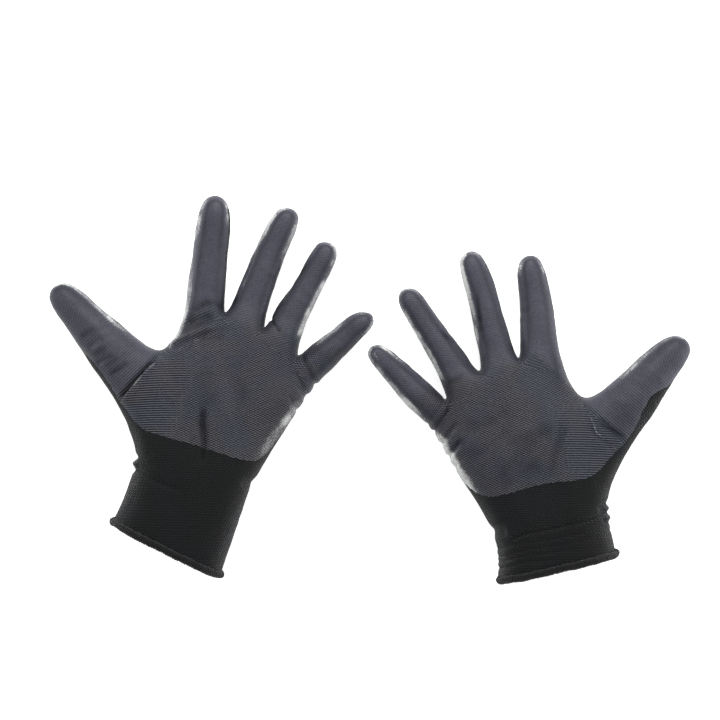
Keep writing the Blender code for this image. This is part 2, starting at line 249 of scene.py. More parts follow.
def turned(glove, directions):
    """World directions of directions of the glove's own frame."""
    tilt = math.radians(glove["tilt"])
    across, along, up = directions.T * [[glove["side"]], [1], [1]]
    x = across * math.cos(tilt) + along * math.sin(tilt)
    y = -across * math.sin(tilt) + along * math.cos(tilt)
    return np.stack([x, y, up], axis=1)


def along_finger(angle):
    """The way along a finger whose hinge lines are turned by that angle."""
    return np.array([math.sin(math.radians(angle)), math.cos(math.radians(angle)), 0])


def digit_frames(glove):
    """Each digit's middle line and widths, the way along it, and the way to the little finger."""
    for name in DIGITS:
        *line, widths, angle = glove["digits"][name]
        way = along_finger(angle)
        yield name, line, widths, way, np.array([way[1], -way[0], 0])


def add_object(name, data):
    made = bpy.data.objects.new(name, data)
    bpy.context.scene.collection.objects.link(made)
    return made


# --- Cage ---


def unrolled(positions, first_s, ts, seam):
    """Each face's two unrolled corners on a ring: s grows round it both ways, up to the seam."""
    count = len(positions)
    steps = [math.dist(positions[i], positions[(i + 1) % count]) for i in range(count)]
    return corner_pairs([first_s + sum(steps[:i]) for i in range(seam + 1)],
                        [first_s - sum(steps[i:]) for i in range(seam, count + 1)], ts)


def corner_pairs(before_seam, after_seam, ts):
    ends = list(zip(before_seam, before_seam[1:])) + list(zip(after_seam, after_seam[1:]))
    return [((s0, ts[i]), (s1, ts[(i + 1) % len(ends)])) for i, (s0, s1) in enumerate(ends)]


def start_pairs(first, second, depth):
    """The unrolled start of a finger, from its two front corners on the palm."""
    (s0, t0), (s1, t1) = first, second
    before = [s0, s1, s1 + depth, s1 + 2 * depth, 2 * s1 + 2 * depth - s0]
    return corner_pairs(before, [s0 - 2 * depth, s0 - depth, s0], [t0, t1, t1, t1, t0, t0])


def palm_ring(front_v, edges, height, lift=0):
    """Twelve points round the palm: five in front, the little finger's side, five behind, and the
    thumb's side."""
    left, right = edges
    across = [left + (right - left) * share for share in (0.08, 0.27, 0.5, 0.74, 0.93)]
    front_heights = [height * share for share in (0.86, 1.02, 0.97, 1.0, 0.84)]
    back_heights = [lift + height * share for share in (0.1, 0, 0, 0, 0.1)]
    front = list(zip(across, front_v, front_heights))
    back = list(zip(across, front_v, back_heights))
    side = (right, front_v[4], height * 0.45)
    thumb_side = (left, front_v[0], height * 0.45)
    return front + [side] + back[::-1] + [thumb_side]


def knuckle_points(webs):
    """Front, middle and back points of the palm's last ring, from which the fingers start."""
    front = [(u, v, KNUCKLE_HEIGHT) for u, v in webs]
    back = [(u, v, 0) for u, v in webs]
    for points, height in ((front, KNUCKLE_HEIGHT * 0.84), (back, KNUCKLE_HEIGHT * 0.1)):
        for end, inward in ((0, 3), (4, -3)):
            u, v, _ = points[end]
            points[end] = (u + inward, v, height)
    return front, [(u, v, KNUCKLE_HEIGHT / 2) for u, v in webs], back


def finger_ring(centre, width, angle, rise):
    """Six cage points round a finger, in the order that the palm's points feed it."""
    turn = math.radians(angle)
    across = np.array([math.cos(turn), -math.sin(turn), 0]) * (width / 2 * RING_OVERSIZE)
    up = np.array([0, 0, width * FINGER_FLATTEN / 2 * RING_OVERSIZE])
    middle = np.array([*centre, rise])
    ring = []
    for degrees in (120, 60, 0, -60, -120, 180):
        round_by = math.radians(degrees)
        ring.append(tuple(middle + across * math.cos(round_by) + up * math.sin(round_by)))
    return ring


class Cage:
    """The glove's coarse quad mesh: each face knows its part and where it lies on the flat knit."""

    def __init__(self):
        self.points = []
        self.faces = []
        self.parts = []
        self.flats = []

    def ring(self, positions, pairs):
        first = len(self.points)
        self.points.extend(positions)
        return list(range(first, len(self.points))), pairs

    def face(self, corners, part, flat):
        self.faces.append(corners)
        self.parts.append(part)
        self.flats.append(flat)

    def band(self, lower, upper, part, skip=()):
        (low, low_pairs), (high, high_pairs) = lower, upper
        for i in range(len(low)):
            if i in skip:
                continue
            j = (i + 1) % len(low)
            flat = (*low_pairs[i], high_pairs[i][1], high_pairs[i][0])
            self.face((low[i], low[j], high[j], high[i]), part, flat)

    def finger(self, start, pairs, glove, rises, name):
        """A finger from its ring of palm points: its rings, rings halfway between them, a cap."""
        base, middle, tip, widths, angle = glove["digits"][name]
        way = unit(np.array([tip]) - middle)[0]
        low = finger_ring(base, widths[0], angle, rises[0])
        mid = finger_ring(middle, widths[1], angle, rises[1])
        high = finger_ring(tip - way * widths[2] * 0.5, widths[2] * 1.03, angle, rises[2] - 1)
        last = finger_ring(tip - way * 1.5, widths[2] * 0.7, angle, rises[2])
        rings = [low, halfway(low, mid), mid, halfway(mid, high), high, last]
        (s0, t0), (s1, t1) = pairs[0]
        centre_s = (s0 + s1) / 2
        t = (t0 + t1) / 2
        previous = (start, pairs)
        previous_middle = middle_of(self.points[start[0]], self.points[start[1]])
        for number, ring in enumerate(rings):
            front_middle = middle_of(ring[0], ring[1])
            t += norm(front_middle - previous_middle)
            first_s = centre_s - math.dist(ring[0], ring[1]) / 2
            current = self.ring(ring, unrolled(ring, first_s, [t] * 6, 4))
            self.band(previous, current, name + ("_lower" if number < 2 else "_upper"))
            previous, previous_middle = current, front_middle
        cap = len(self.points)
        self.points.append((*(tip + way * 2.5), rises[2] + 0.5))
        ring, pairs = previous
        for i in (0, 2, 4):
            corners = (ring[i], ring[i + 1], ring[(i + 2) % 6], cap)
            middle_s = (pairs[i][0][0] + pairs[i + 1][1][0]) / 2
            flat = (pairs[i][0], pairs[i][1], pairs[i + 1][1], (middle_s, t + widths[2] * 0.3))
            self.face(corners, name + "_upper", flat)


def middle_of(a, b):
    return (np.array(a) + np.array(b)) / 2


def halfway(first, second):
    return [tuple(middle_of(a, b)) for a, b in zip(first, second)]


def palm_band(cage, positions):
    """A ring of the palm or the cuff on the flat knit, its seam at the middle of the back."""
    return cage.ring(positions, unrolled(positions, positions[0][0], [p[1] for p in positions], 8))


def glove_cage(glove):
    cage = Cage()
    height = PALM_RINGS["wrist"][2]
    rings = []
    for number, ((first_v, last_v), edges) in enumerate(glove["cuff_rings"]):
        slant = [first_v + (last_v - first_v) * k / 4 for k in range(5)]
        lift = HEM_ROLL - LINER_WALL if number == 0 else 0
        rings.append(palm_band(cage, palm_ring(slant, edges, height, lift)))
    for lower, upper in zip(rings, rings[1:]):
        cage.band(lower, upper, "cuff")
    wrist, low, high = (palm_band(cage, palm_ring(*ring)) for ring in PALM_RINGS.values())
    cage.band(rings[-1], wrist, "palm")
    cage.band(wrist, low, "palm")
    cage.band(low, high, "palm", skip=(10, 11))

    front, middle, back = knuckle_points(glove["webs"])
    ring = front + [middle[4]] + back[::-1] + [middle[0]]
    knuckles = palm_band(cage, ring)
    cage.band(high, knuckles, "palm")
    numbers, pairs = knuckles
    fronts, side, backs = numbers[:5], numbers[5], numbers[6:11][::-1]
    inner = cage.ring(middle[1:4], None)[0]
    middles = [numbers[11], *inner, side]
    for k, name in enumerate(FINGERS):
        start = [fronts[k], fronts[k + 1], middles[k + 1], backs[k + 1], backs[k], middles[k]]
        flat = start_pairs(*pairs[k], KNUCKLE_HEIGHT / 2)
        cage.finger(start, flat, glove, FINGER_RISE, name)
    (low_ring, _), (high_ring, _) = low, high
    start = [low_ring[0], high_ring[0], high_ring[11], high_ring[10], low_ring[10], low_ring[11]]
    positions = [cage.points[number] for number in start]
    base, _, _, _, angle = glove["digits"]["thumb"]
    ts = ((np.array(positions) - (*base, 0)) @ along_finger(angle)).tolist()
    flat = unrolled(positions, -math.dist(*positions[:2]) / 2, ts, 4)
    cage.finger(start, flat, glove, THUMB_RISE, "thumb")
    return cage


# --- Surface ---


class Surface:
    """The cage's smooth surface at one subdivision level, as arrays."""

    def __init__(self, cage, level):
        self.names = list(dict.fromkeys(cage.parts))
        mesh = bpy.data.meshes.new("cage")
        mesh.from_pydata(cage.points, [], cage.faces)
        layer = mesh.uv_layers.new(name="knit")
        layer.data.foreach_set("uv", np.array(cage.flats, np.float32).ravel())
        mesh.polygons.foreach_set("material_index", [self.names.index(part) for part in cage.parts])
        for _ in self.names:
            mesh.materials.append(None)
        guide = add_object("cage", mesh)
        rounding = guide.modifiers.new("Smooth", "SUBSURF")
        rounding.levels = rounding.render_levels = level
        bpy.context.view_layer.update()
        graph = bpy.context.evaluated_depsgraph_get()
        fine = bpy.data.meshes.new_from_object(guide.evaluated_get(graph))
        self.points = read(fine.vertices, "co", 3, np.float32).astype(float)
        self.quads = read(fine.loops, "vertex_index", 4, np.int32)
        flats = read(fine.uv_layers[0].data, "uv", 8, np.float32)
        self.flats = flats.reshape(-1, 4, 2).astype(float)
        self.parts = read(fine.polygons, "material_index", 1, np.int32).ravel()
        bpy.data.objects.remove(guide)
        bpy.data.meshes.remove(mesh)
        bpy.data.meshes.remove(fine)
        self.normals = normals_of(self.points, self.quads)

    def faces_of(self, part):
        return self.parts == self.names.index(part)


def read(collection, key, width, kind):
    """A collection's values of one key as an array of that width."""
    sizes = {"co": 3, "uv": 2}
    values = np.empty(len(collection) * sizes.get(key, 1), kind)
    collection.foreach_get(key, values)
    return values.reshape(-1, width)


def unit(vectors):
    return vectors / np.maximum(norm(vectors, axis=1, keepdims=True), 1e-12)


def normals_of(points, quads):
    a, b, c, d = (points[quads[:, corner]] for corner in range(4))
    faces = np.cross(c - a, d - b)
    total = np.zeros_like(points)
    for corner in range(4):
        np.add.at(total, quads[:, corner], faces)
    return unit(total)


# --- Folds ---


def soft_noise(points, size, seed):
    """Smooth noise from -1 to 1 with swells of about that size."""
    grid = points / size + seed * 17.31
    cell = np.floor(grid).astype(np.int64)
    share = grid - cell
    share = share * share * (3 - 2 * share)
    total = np.zeros(len(points))
    for corner in product((0, 1), repeat=3):
        key = (cell + corner) * (73856093, 19349663, 83492791)
        mixed = (key[:, 0] ^ key[:, 1] ^ key[:, 2] ^ (seed * 668265263)) & 0xFFFFFFFF
        mixed = ((mixed ^ (mixed >> 15)) * 739982445) & 0xFFFFFFFF
        mixed = ((mixed ^ (mixed >> 12)) * 695872825) & 0xFFFFFFFF
        value = ((mixed ^ (mixed >> 15)) & 0xFFFF) / 32767.5 - 1
        weight = np.prod(np.where(corner, share, 1 - share), axis=1)
        total += weight * value
    return total


def line_distance(flat_points, line):
    """Signed distance to a line, and how far along it that place is, from 0 to 1."""
    line = np.array(line, float)
    lengths = norm(np.diff(line, axis=0), axis=1)
    best = np.full(len(flat_points), np.inf)
    signed = np.zeros(len(flat_points))
    along = np.zeros(len(flat_points))
    for number, (start, end) in enumerate(zip(line, line[1:])):
        way = (end - start) / lengths[number]
        offset = flat_points - start
        reach = np.clip(offset @ way, 0, lengths[number])
        away = offset - reach[:, None] * way
        distance = norm(away, axis=1)
        nearer = distance < best
        side = np.where(way[0] * offset[:, 1] - way[1] * offset[:, 0] > 0, -1, 1)
        best = np.where(nearer, distance, best)
        signed = np.where(nearer, distance * side, signed)
        along = np.where(nearer, (lengths[:number].sum() + reach) / lengths.sum(), along)
    return signed, along


def fading_line(points, line, slack):
    """Signed distance to a line, and a share that fades towards both its ends."""
    distance, along = line_distance(points[:, :2], line)
    return distance, smoothstep(along, -slack, 0.2) * smoothstep(-along, -1 - slack, -0.8)


def hump(distance, width):
    return np.exp(-((distance / width) ** 2))


def folded(points, folds):
    """Height of the folds over the smooth surface. A lip stands to a fold's right."""
    total = np.zeros(len(points))
    for *line, width, depth, lip in folds:
        distance, fade = fading_line(points, line, 0.02)
        total -= depth * fade * hump(distance, width)
        total += lip * fade * hump(distance + 1.7 * width, width)
    return total


def finger_wear(points, glove):
    """Fine uneven creases across each finger and soft ridges along it."""
    total = np.zeros(len(points))
    for _, line, widths, way, across_way in digit_frames(glove):
        distance, _ = line_distance(points[:, :2], line)
        near = smoothstep(-np.abs(distance), -widths[0] * 0.8, -widths[0] * 0.5)
        offset = points - (*line[0], 0)
        along, across = offset @ way, offset @ across_way
        bent = np.stack([along + 0.02 * across**2, across * 0.35, points[:, 2] * 0.35], axis=1)
        creases = soft_noise(bent, 3.4, 40) * smoothstep(soft_noise(bent, 16, 50), -0.3, 0.5)
        total += 0.2 * near * smoothstep(along, -14, 2) * creases
        total += 0.5 * near * smoothstep(along, -5, 8) * soft_noise(bent * (0.35, 2.6, 1), 6, 60)
    return total


def sculpt(surface, glove):
    """Presses the folds and the unevenness of worn knit into the surface, in millimetres."""
    points, normals = surface.points, surface.normals
    seed = 3 if glove["side"] > 0 else 11
    front = smoothstep(normals[:, 2], -0.5, 0.0)
    height = folded(points, glove["palm_folds"]) * front
    height += folded(points, glove["cuff_folds"])
    height += finger_wear(points, glove)
    stretched = points * (1, 0.7, 1)
    height += 0.7 * soft_noise(stretched, 26, seed) + 0.3 * soft_noise(stretched, 11, seed + 1)
    height += 0.14 * soft_noise(points, 4.5, seed + 2)
    surface.lifted = points + normals * height[:, None]
    surface.lifted[:, 2] = np.maximum(surface.lifted[:, 2], 0.05)
    surface.bent_normals = normals_of(surface.lifted, surface.quads)


# --- Coating ---


def rounded_line(line):
    """The line with its corners cut twice."""
    line = np.array(line, float)
    for _ in range(2):
        near, far = line[:-1] * 0.75 + line[1:] * 0.25, line[:-1] * 0.25 + line[1:] * 0.75
        line = np.vstack([line[:1], np.stack([near, far], axis=1).reshape(-1, 2), line[-1:]])
    return line


def side_values(surface, glove):
    """At each point: how much it faces up, where in that the dip ends, and how pale the dip is
    drawn there: partly its thin edge, partly a painted reflection of the bright surroundings.
    """
    points, normals = surface.points, surface.normals
    facing = normals[:, 2]
    values = np.array(glove["sides"]["palm"])[(normals[:, 0] > 0).astype(int)]
    for name, line, widths, way, across in digit_frames(glove):
        distance, _ = line_distance(points[:, :2], line)
        near = smoothstep(-np.abs(distance), -widths[0] * 0.95, -widths[0] * 0.6)
        near *= smoothstep((points - (*line[0], 0)) @ way, -20, 0)
        if name == "thumb":
            roll = math.radians(THUMB_ROLL)
            up = np.array([0, 0, math.cos(roll)]) + across * math.sin(roll)
            facing = facing + (normals @ up - facing) * near
        share = smoothstep(normals @ across, -0.3, 0.3)[:, None]
        thumb_side, little_side = np.array(glove["sides"][name])
        chosen = thumb_side + (little_side - thumb_side) * share
        from_tip = norm(points[:, :2] - line[2], axis=1)
        at_tip = smoothstep(-from_tip, -widths[2] * 1.2, -widths[2] * 0.7)
        if name == "thumb":
            chosen[:, 1] *= smoothstep((points - (*line[0], 0)) @ way, -10, 26)
            at_tip = at_tip * 0.4
        # painted reflection: the rim round each fingertip is drawn pale
        chosen[:, 1] = np.maximum(chosen[:, 1], 0.75 * at_tip)
        values = values + (chosen - values) * near[:, None]
    return facing, values[:, 0], values[:, 1]


def dip_cover(surface, glove):
    """About how far, in millimetres, each point lies inside the edge of the dip."""
    points = surface.points
    facing, end, surface.rim_pale = side_values(surface, glove)
    cover = 10 * (facing - end + 0.12 * soft_noise(points, 15, 33))
    for _, line, _, _, _ in digit_frames(glove):
        cover = np.maximum(cover, TIP_WRAP - norm(points[:, :2] - line[2], axis=1))
    inside, _ = line_distance(points[:, :2], rounded_line(glove["dip_edge"]))
    jag = 0.35 * soft_noise(points, 1.3, 5) + 0.25 * soft_noise(points, 3.0, 7)
    return np.minimum(cover, -inside) + jag


def paint_rims_light_and_shade(surface, glove):
    """The dip's pale rims and painted light at each point: 1 where it is drawn pale (its thin edge,
    plus painted reflection and painted highlights), -1 where it is drawn all but black (painted
    shade).
    """
    points, up = surface.points, surface.normals[:, 2]
    patchy = 0.85 + 0.4 * soft_noise(points, 14, 71) + 0.25 * soft_noise(points, 5, 73)
    start = np.where(points[:, 0] > 0, glove["rim_from"], 66)
    on_thumb = smoothstep(-points[:, 0], 54, 68)
    on_digits = np.clip(smoothstep(points[:, 1] - start, 0, 18) + on_thumb, 0, 1)
    for web in glove["webs"][1:4]:
        on_digits *= smoothstep(norm(points[:, :2] - web, axis=1), 12, 22)
    steep = 0.9 - 0.16 * on_thumb - up
    side = smoothstep(steep, 0, 0.26) * smoothstep(up, 0.0, 0.36) * on_digits
    # pale rims along the digits' sides: partly the dip's thin edge, partly a painted reflection of
    # the bright surroundings at grazing angles
    pale = side * surface.rim_pale * np.clip(patchy, 0, 1)
    # painted shade: a darker band along the lower sides of the fingers, inside the pale rims; the
    # thumb is also drawn a little darker
    shade = 0.5 * smoothstep(-up, -0.985, -0.86) * smoothstep(points[:, 1], 70, 90)
    tone = pale - (shade + 0.14 * on_thumb) * (1 - pale)
    front = smoothstep(up, -0.05, 0.35)
    broken = 0.85 + 0.45 * soft_noise(points, 7, 77)
    # painted highlights and painted shade along the listed lines, with pale rims among them
    for *line, width, strength in glove["pale_rim_and_painted_light_lines"]:
        distance, fade = fading_line(points, line, 0.05)
        tone += strength * front * fade * broken * hump(distance, width)
    return np.clip(tone, -1, 1)


def knit_marks(surface, glove):
    """How strongly the stitches show through the dip, and where only their courses do."""
    u, v, _ = surface.points.T
    courses = smoothstep(-u, 14, 30) * smoothstep(-v, -72, -58)
    on_thumb = smoothstep(-gusset_side(u, v, glove), 0, 5)
    shows = 0.36 + 1.04 * smoothstep(-v, -112, -90)
    shows += 0.2 * smoothstep(-v, -62, -40)
    shows *= 1 - 0.72 * on_thumb
    shows *= 0.85 + 0.25 * soft_noise(surface.points, 16, 21)
    return courses, shows


def course_bend(u):
    """How far the courses slant across the palm, and swing round towards the thumb."""
    return -0.31 * u + 0.0016 * np.minimum(u + 20, 0) ** 2


def gusset_side(u, v, glove):
    """How far the points are from the thumb's gusset: above zero on the palm's side."""
    (u0, v0), (u1, v1) = glove["gusset"]
    length = math.hypot(u1 - u0, v1 - v0)
    return ((u1 - u0) * (v - v0) - (v1 - v0) * (u - u0)) / length


def settle_flats(surface, glove):
    """Slants the palm's courses, and runs them on as far as the thumb's gusset."""
    u, v, _ = surface.points[surface.quads].transpose(2, 0, 1)
    palm_side = gusset_side(u.mean(axis=1), v.mean(axis=1), glove) > 0
    facing = surface.normals[:, 2][surface.quads].mean(axis=1) > 0
    heel = surface.faces_of("thumb_lower") & palm_side & facing
    hand = heel | surface.faces_of("palm")
    surface.flats[heel, :, 0] = u[heel]
    surface.flats[hand, :, 1] = v[hand]
    bent = hand | surface.faces_of("cuff")
    surface.flats[bent, :, 1] += course_bend(u[bent])


# --- Pieces ---


def cut_out(quads, flats, data, cover):
    """The faces where cover is above zero, cut along the line where it is zero."""
    above = cover > 0
    count = above[quads].sum(axis=1)
    faces = quads[count == 4].tolist()
    corners = flats[count == 4].tolist()
    mixed = (count > 0) & (count < 4)
    rows = []
    cuts = {}
    for quad, flat in zip(quads[mixed].tolist(), flats[mixed]):
        face, corner = [], []
        for i in range(4):
            j = (i + 1) % 4
            a, b = quad[i], quad[j]
            if above[a]:
                face.append(a)
                corner.append(flat[i].tolist())
            if above[a] == above[b]:
                continue
            low, high = min(a, b), max(a, b)
            if (low, high) not in cuts:
                share = cover[low] / (cover[low] - cover[high])
                cuts[low, high] = len(data) + len(rows), share
                rows.append(data[low] + (data[high] - data[low]) * share)
            number, share = cuts[low, high]
            share = share if a == low else 1 - share
            face.append(number)
            corner.append((flat[i] + (flat[j] - flat[i]) * share).tolist())
        faces.append(face)
        corners.append(corner)
    return faces, corners, np.vstack([data, *rows]) if rows else data


def closed_wall(name, glove, faces, corners, data):
    """A closed wall from the sheet's faces, whose points are rows as sheet_data gives them."""
    used = np.unique([number for face in faces for number in face])
    renumbered = np.full(len(data), -1)
    renumbered[used] = np.arange(len(used))
    data = data[used]
    faces = [[int(renumbered[number]) for number in face] for face in faces]
    count = len(used)
    points, normals = data[:, 0:3], unit(data[:, 3:6])
    outer = points + normals * data[:, 6:7]
    outer[:, 2] = np.maximum(outer[:, 2], 0.02)
    inner = points + normals * data[:, 7:8]
    edges = {}
    for face, corner in zip(faces, corners):
        for i in range(len(face)):
            j = (i + 1) % len(face)
            edges[face[i], face[j]] = corner[i], corner[j]
    faces = faces + [[number + count for number in reversed(face)] for face in faces]
    corners = corners + [corner[::-1] for corner in corners]
    for (a, b), (flat_a, flat_b) in edges.items():
        if (b, a) not in edges:
            faces.append([b, a, a + count, b + count])
            corners.append([flat_b, flat_a, flat_a, flat_b])
    spot = points + (0 if glove["side"] > 0 else 400, 0, 0)
    wall, spots = np.vstack([outer, inner]), np.vstack([spot, spot])
    piece = glove_object(name, glove, wall, faces, corners, spots)
    for column, key in ((8, "tone"), (9, "shows"), (10, "courses")):
        add_values(piece.data, key, "FLOAT", "value", np.tile(data[:, column], 2))
    facing = turned(glove, normals)
    piece.data.normals_split_custom_set_from_vertices(np.vstack([facing, -facing]).tolist())
    return piece


def glove_object(name, glove, points, faces, corners, spots):
    """An object of points in the glove's frame, with each face's corners on the flat knit."""
    if glove["side"] < 0:
        faces, corners = ([entry[::-1] for entry in entries] for entries in (faces, corners))
    mesh = bpy.data.meshes.new(name)
    mesh.from_pydata(place(glove, points).tolist(), [], faces)
    flat = np.array([value for corner in corners for pair in corner for value in pair], np.float32)
    mesh.uv_layers.new(name="knit").data.foreach_set("uv", flat)
    add_values(mesh, "spot", "FLOAT_VECTOR", "vector", spots)
    mesh.shade_smooth()
    return add_object(name, mesh)


def add_values(mesh, name, kind, key, values):
    attribute = mesh.attributes.new(name, kind, "POINT")
    attribute.data.foreach_set(key, np.asarray(values, np.float32).ravel())


def sheet_data(surface, outer, inner, tone):
    """A row for each point: its place, its normal, the wall's two offsets, the dip's pale rims with
    painted light and shade, how strongly stitches show and where only courses do."""
    blank = np.zeros(len(surface.points))
    looks = blank + outer, blank + inner, blank + tone, surface.shows, surface.courses
    return np.hstack([surface.lifted, surface.bent_normals, np.stack(looks, axis=1)])


def knit_piece(name, glove, surface, part):
    """A knitted piece: a wall that grows inwards from the surface."""
    chosen = surface.faces_of(part)
    quads, flats = surface.quads[chosen].tolist(), surface.flats[chosen].tolist()
    return closed_wall(name, glove, quads, flats, sheet_data(surface, 0, -LINER_WALL, 0))


def coating_piece(name, glove, surface, part):
    """The dip on one part: a thin skin that thins out towards its rim."""
    chosen = surface.faces_of(part)
    thickness = COATING_EDGE + (COATING_WALL - COATING_EDGE) * smoothstep(surface.cover, 0, 3)
    data = sheet_data(surface, COATING_LIFT + thickness, COATING_LIFT, surface.tone)
    cut = cut_out(surface.quads[chosen], surface.flats[chosen], data, surface.cover)
    return closed_wall(name, glove, *cut)


def rim_loop(surface):
    """The open end of the cuff, in order."""
    edges = set()
    for quad in surface.quads[surface.faces_of("cuff")].tolist():
        edges.update(zip(quad, quad[1:] + quad[:1]))
    following = {a: b for a, b in edges if (b, a) not in edges}
    start = min(following, key=lambda number: surface.points[number, 1])
    loop = [start]
    while following[loop[-1]] != start:
        loop.append(following[loop[-1]])
    return surface.lifted[loop]


def hem_piece(name, glove, surface):
    """The overlocked roll at the cuff's end: thread in slanted turns round a soft core."""
    loop = rim_loop(surface) - (0, HEM_ROLL + HEM_GAP, 0)
    loop[:, 2] = np.maximum(loop[:, 2], HEM_ROLL)
    for _ in range(6):
        loop = (np.roll(loop, 1, axis=0) + 2 * loop + np.roll(loop, -1, axis=0)) / 4
    steps = norm(np.roll(loop, -1, axis=0) - loop, axis=1)
    reach = np.concatenate([[0], np.cumsum(steps)])
    wraps = round(reach[-1] / HEM_WRAP)
    around, rows = 18, wraps * 6
    at = np.arange(rows) / rows * reach[-1]
    closed = np.vstack([loop, loop[:1]])
    path = np.stack([np.interp(at, reach, closed[:, axis]) for axis in range(3)], axis=1)
    way = unit(np.roll(path, -1, axis=0) - np.roll(path, 1, axis=0))
    back = unit(np.cross(way, np.cross((0.0, 1.0, 0.0), way)))
    out = np.cross(way, back)
    seed = 31 if glove["side"] > 0 else 37
    sway = np.stack([soft_noise(path, 7, seed + axis) for axis in range(3)], axis=1)
    core = path + 0.35 * sway
    rounds = []
    for k in range(around):
        angle = 2 * math.pi * k / around
        phase = 2 * math.pi * np.arange(rows) / rows * wraps + angle
        wrap = np.abs(np.cos(phase / 2)) ** 0.6
        ragged = 0.12 * soft_noise(core + (0, 9 * angle, 0), 1.6, seed + 5)
        radius = HEM_ROLL * (0.84 + 0.17 * wrap + ragged)
        direction = back * math.cos(angle) + out * math.sin(angle)
        rounds.append(core + direction * radius[:, None])
    points = np.stack(rounds, axis=1).reshape(-1, 3)
    points[:, 2] = np.maximum(points[:, 2], 0.02)
    length, turn = reach[-1] / rows, HEM_ROLL * 2 * math.pi / around
    faces, corners = [], []
    for row, k in product(range(rows), range(around)):
        this, after = row * around, (row + 1) % rows * around
        j = (k + 1) % around
        faces.append([this + k, this + j, after + j, after + k])
        s, t = at[row], turn * k
        corners.append([(s, t), (s, t + turn), (s + length, t + turn), (s + length, t)])
    return glove_object(name, glove, points, faces, corners, points)


# --- Materials ---


class Finish:
    """A node material, with short calls for the nodes that finishes share."""

    def __init__(self, name, roughness, specular, sheen=0.0):
        self.material = bpy.data.materials.new(name)
        self.material.use_nodes = True
        self.tree = self.material.node_tree
        self.shader = self.tree.nodes["Principled BSDF"]
        self.shader.inputs["Roughness"].default_value = roughness
        self.shader.inputs["Specular IOR Level"].default_value = specular
        self.shader.inputs["Sheen Weight"].default_value = sheen
        self.shader.inputs["Sheen Roughness"].default_value = 0.4

    def node(self, kind, **settings):
        node = self.tree.nodes.new(kind)
        for key, value in settings.items():
            setattr(node, key, value)
        return node

    def link(self, value, socket):
        if isinstance(value, (int, float)):
            socket.default_value = value
        else:
            self.tree.links.new(value, socket)

    def math(self, operation, *values, clamp=False):
        node = self.node("ShaderNodeMath", operation=operation, use_clamp=clamp)
        for value, socket in zip(values, node.inputs):
            self.link(value, socket)
        return node.outputs[0]

    def attribute(self, name, output="Fac"):
        return self.node("ShaderNodeAttribute", attribute_name=name).outputs[output]

    def flat(self):
        """Across and along the flat knit, in millimetres."""
        uv = self.node("ShaderNodeUVMap", uv_map="knit")
        split = self.node("ShaderNodeSeparateXYZ")
        self.link(uv.outputs[0], split.inputs[0])
        return split.outputs[0], split.outputs[1]

    def noise(self, size, detail=2.0, roughness=0.5):
        """Noise whose features are about that many millimetres across."""
        noise = self.node("ShaderNodeTexNoise")
        self.link(self.attribute("spot", "Vector"), noise.inputs["Vector"])
        noise.inputs["Scale"].default_value = 1 / size
        noise.inputs["Detail"].default_value = detail
        noise.inputs["Roughness"].default_value = roughness
        return noise.outputs["Fac"]

    def between(self, value, low, high, to_low=0.0, to_high=1.0):
        spread = self.node("ShaderNodeMapRange", interpolation_type="SMOOTHSTEP")
        for number, given in enumerate((value, low, high, to_low, to_high)):
            self.link(given, spread.inputs[number])
        return spread.outputs[0]

    def mix(self, share, first, second):
        node = self.node("ShaderNodeMix", data_type="RGBA")
        self.link(share, node.inputs[0])
        for colour, socket in ((first, node.inputs[6]), (second, node.inputs[7])):
            if isinstance(colour, tuple):
                socket.default_value = (*colour, 1)
            else:
                self.tree.links.new(colour, socket)
        return node.outputs[2]

    def scaled(self, value, factor, plus):
        return self.math("MULTIPLY_ADD", value, factor, plus)

    def swing(self, place, pitch):
        return self.math("COSINE", self.math("MULTIPLY", place, 2 * math.pi / pitch))

    def wave(self, place, pitch):
        """A ridge every pitch millimetres, from 0 to 1."""
        return self.scaled(self.swing(place, pitch), 0.5, 0.5)

    def crossed(self, s, t):
        """A brick pattern of loops, from 0 to 1: each column half a course off the next."""
        waves = self.math("MULTIPLY", self.swing(s, WALE), self.swing(t, COURSE))
        return self.scaled(waves, 0.5, 0.5)

    def stitches(self, s, t, wale, course):
        """The V shapes of plain knit: each course rises towards the edges of its wale."""
        across = self.math("FRACT", self.math("DIVIDE", s, wale))
        off = self.math("ABSOLUTE", self.scaled(across, 2, -1))
        risen = self.scaled(off, course * 0.5, t)
        groove = self.scaled(self.math("POWER", off, 6), -0.5, 1)
        return self.math("MULTIPLY", self.wave(risen, course), groove)

    def bump(self, height, distance, strength=1.0):
        bump = self.node("ShaderNodeBump")
        bump.inputs["Strength"].default_value = strength
        bump.inputs["Distance"].default_value = distance * MM
        self.link(height, bump.inputs["Height"])
        self.link(bump.outputs[0], self.shader.inputs["Normal"])

    def colour(self, colour):
        self.link(colour, self.shader.inputs["Base Color"])


def knit_finish(name, wale, course):
    """Black seamless knit, matt, with its fine stitches raised."""
    finish = Finish(name, roughness=0.9, specular=0.14, sheen=0.2)
    s, t = finish.flat()
    stitch = finish.stitches(s, t, wale, course)
    fuzz = finish.noise(0.5, detail=3)
    patches = finish.noise(22)
    height = finish.scaled(fuzz, 0.35, stitch)
    # painted shade: the knit is drawn darker in the grooves between its loops
    shade = finish.mix(stitch, (0.008, 0.0084, 0.0084), (0.013, 0.0138, 0.0138))
    bluer = finish.between(patches, 0.42, 0.7, 0, 0.4)
    finish.colour(finish.mix(bluer, shade, (0.009, 0.012, 0.017)))
    finish.bump(height, 0.5, 0.9)
    return finish.material


